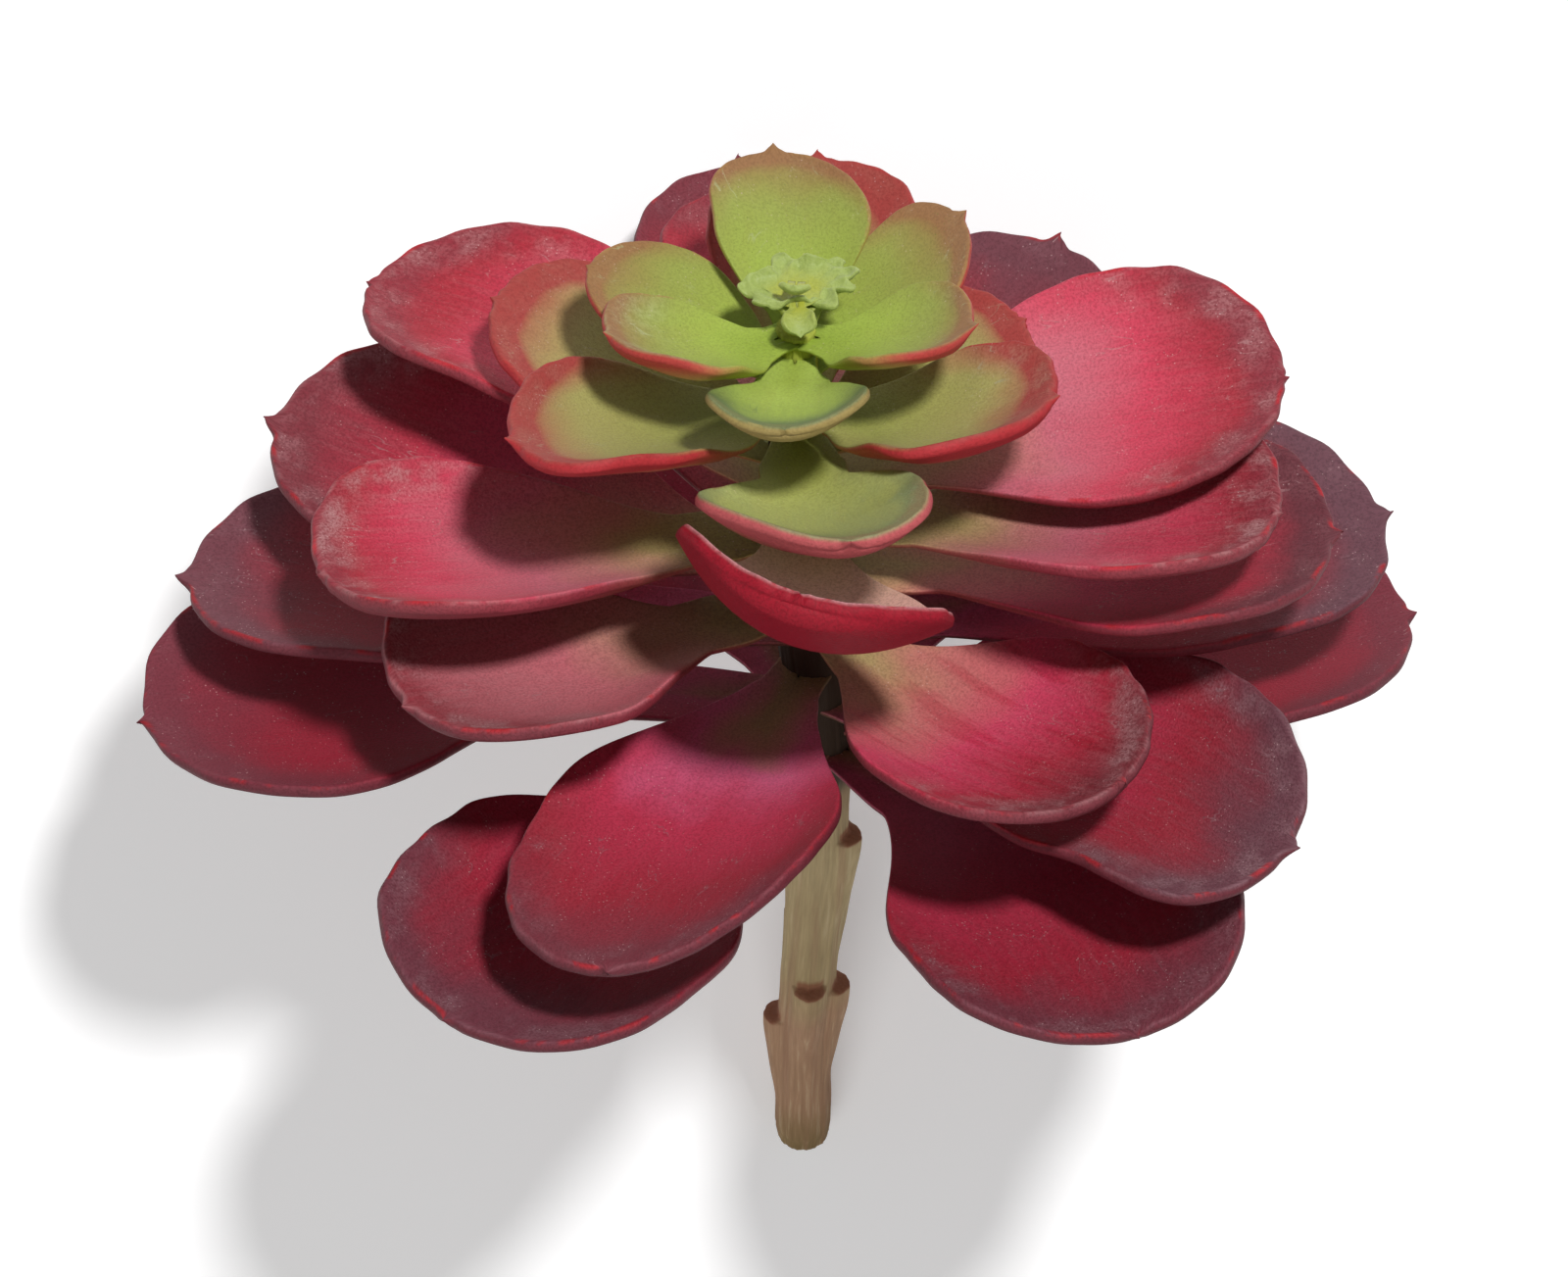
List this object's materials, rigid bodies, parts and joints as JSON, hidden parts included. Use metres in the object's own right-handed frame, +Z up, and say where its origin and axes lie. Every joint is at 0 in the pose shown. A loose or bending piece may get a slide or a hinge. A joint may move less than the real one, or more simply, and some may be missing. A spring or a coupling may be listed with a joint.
{
  "type": "lipstick echeveria",
  "caption": "Cut echeveria: a bare scarred stem with tiers of thick spoon-shaped leaves, green in the middle and crimson outside, round a frilled heart, lying on its back.",
  "frame": {"origin": "middle of the bounding box's base, on the surface the cut plant lies on", "axes": "+Z up from that surface; the stem rises from its cut end towards +Y and +Z, and +X is to the right of someone who looks at the rosette from above with the cut end towards them"},
  "size_m": [0.1992, 0.1796, 0.1455],
  "materials": {
    "stem": "dry, fibrous, matte",
    "crown_leaf": "fleshy, matte, with a powdery bloom",
    "inner_leaf": "fleshy, matte, with a powdery bloom",
    "upper_leaf": "fleshy, matte, with a powdery bloom",
    "middle_leaf": "fleshy, matte, with a powdery bloom",
    "lower_leaf": "fleshy, matte, with a powdery bloom",
    "base_leaf": "fleshy, matte, with a powdery bloom",
    "heart": "fleshy, matte, with a powdery bloom"
  },
  "bodies": {
    "root": {"stem": "stem", "crown_leaf_1": "crown_leaf", "crown_leaf_2": "crown_leaf", "crown_leaf_3": "crown_leaf", "crown_leaf_4": "crown_leaf", "crown_leaf_5": "crown_leaf", "crown_leaf_6": "crown_leaf", "inner_leaf_1": "inner_leaf", "inner_leaf_2": "inner_leaf", "inner_leaf_3": "inner_leaf", "inner_leaf_4": "inner_leaf", "inner_leaf_5": "inner_leaf", "inner_leaf_6": "inner_leaf", "upper_leaf_1": "upper_leaf", "upper_leaf_2": "upper_leaf", "upper_leaf_3": "upper_leaf", "upper_leaf_4": "upper_leaf", "upper_leaf_5": "upper_leaf", "upper_leaf_6": "upper_leaf", "middle_leaf_1": "middle_leaf", "middle_leaf_2": "middle_leaf", "middle_leaf_3": "middle_leaf", "middle_leaf_4": "middle_leaf", "middle_leaf_5": "middle_leaf", "middle_leaf_6": "middle_leaf", "lower_leaf_1": "lower_leaf", "lower_leaf_2": "lower_leaf", "lower_leaf_3": "lower_leaf", "lower_leaf_4": "lower_leaf", "lower_leaf_5": "lower_leaf", "lower_leaf_6": "lower_leaf", "base_leaf_1": "base_leaf", "base_leaf_2": "base_leaf", "base_leaf_3": "base_leaf", "base_leaf_4": "base_leaf", "base_leaf_5": "base_leaf", "base_leaf_6": "base_leaf", "heart": "heart", "heart_tongue": "heart", "heart_curl": "heart"}
  },
  "joints": []
}
